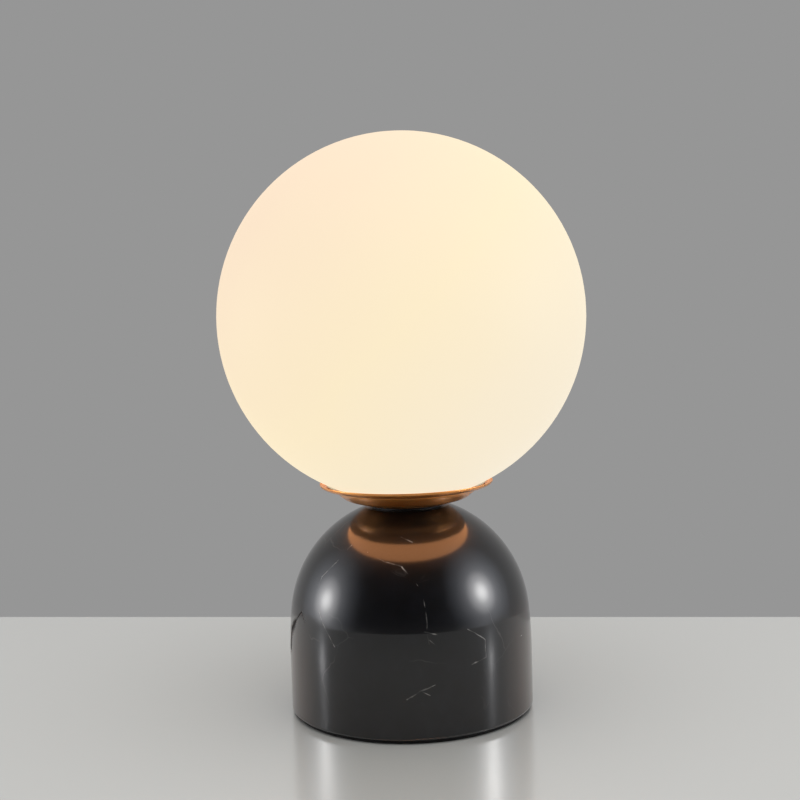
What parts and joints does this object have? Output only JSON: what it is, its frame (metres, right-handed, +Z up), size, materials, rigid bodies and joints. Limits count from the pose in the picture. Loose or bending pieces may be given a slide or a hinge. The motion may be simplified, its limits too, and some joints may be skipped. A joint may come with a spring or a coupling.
{
  "type": "globe table lamp",
  "caption": "Table lamp with an opal glass globe in a two-tier brass dish on a domed black marble block; globe lifts off and bulb unscrews.",
  "frame": {"origin": "centre of the foot pad's lower face, on the lamp's axis", "axes": "+Z up along the lamp's axis, +Y towards the back, where the cable outlet is"},
  "size_m": [0.2, 0.2, 0.3158],
  "materials": {
    "black_marble": "polished, with white veins",
    "polished_brass": "polished and lacquered",
    "opal_glass": "blown opal, satin outside",
    "foam_pad": "closed-cell foam, matt",
    "black_fibre": "vulcanised fibre, matt",
    "clear_silicone": "translucent",
    "zinc_steel": "zinc plated",
    "spring_steel": "bright spring strip",
    "black_moulding": "moulded thermoset",
    "white_moulding": "moulded",
    "contact_brass": "rolled strip",
    "nickel_brass": "nickel plated",
    "opal_plastic": "opal polycarbonate",
    "board_white": "white solder mask",
    "board_green": "glass-fibre board",
    "brown_lead": "PVC sleeve",
    "blue_lead": "PVC sleeve"
  },
  "bodies": {
    "lamp": {"base_pad": "foam_pad", "marble_base": "black_marble", "cable_gland": "black_moulding", "clamp_plate": "zinc_steel", "lock_washer": "spring_steel", "lower_nut": "zinc_steel", "upper_nut": "zinc_steel", "threaded_tube": "zinc_steel", "stone_washer": "black_fibre", "brass_cup": "polished_brass", "cup_spacer": "zinc_steel", "brass_saucer": "polished_brass", "seat_gasket": "clear_silicone", "retaining_spring": "spring_steel", "gallery_washer": "zinc_steel", "holder_cap": "black_moulding", "holder_grub_screw": "zinc_steel", "holder_insert": "black_moulding", "centre_contact": "contact_brass", "side_contact": "contact_brass", "holder_terminal_screws": "contact_brass", "holder_skirt": "black_moulding", "terminal_block": "white_moulding", "terminal_sleeves": "contact_brass", "terminal_screws": "zinc_steel", "block_screw": "zinc_steel", "live_lead": "brown_lead", "neutral_lead": "blue_lead"},
    "globe": {"glass_globe": "opal_glass"},
    "bulb": {"bulb_contact": "nickel_brass", "bulb_insulator": "black_moulding", "bulb_screw_cap": "nickel_brass", "bulb_housing": "white_moulding", "bulb_led_board": "board_white", "bulb_driver_board": "board_green", "bulb_diffuser": "opal_plastic"}
  },
  "joints": [
    {"name": "globe_lift", "type": "slide", "parent": "lamp", "child": "globe", "axis": [0, 0, 1], "range_m": [0, 0.12]},
    {"name": "bulb_lift", "type": "slide", "parent": "lamp", "child": "bulb", "axis": [0, 0, 1], "range_m": [0, 0.028]}
  ]
}
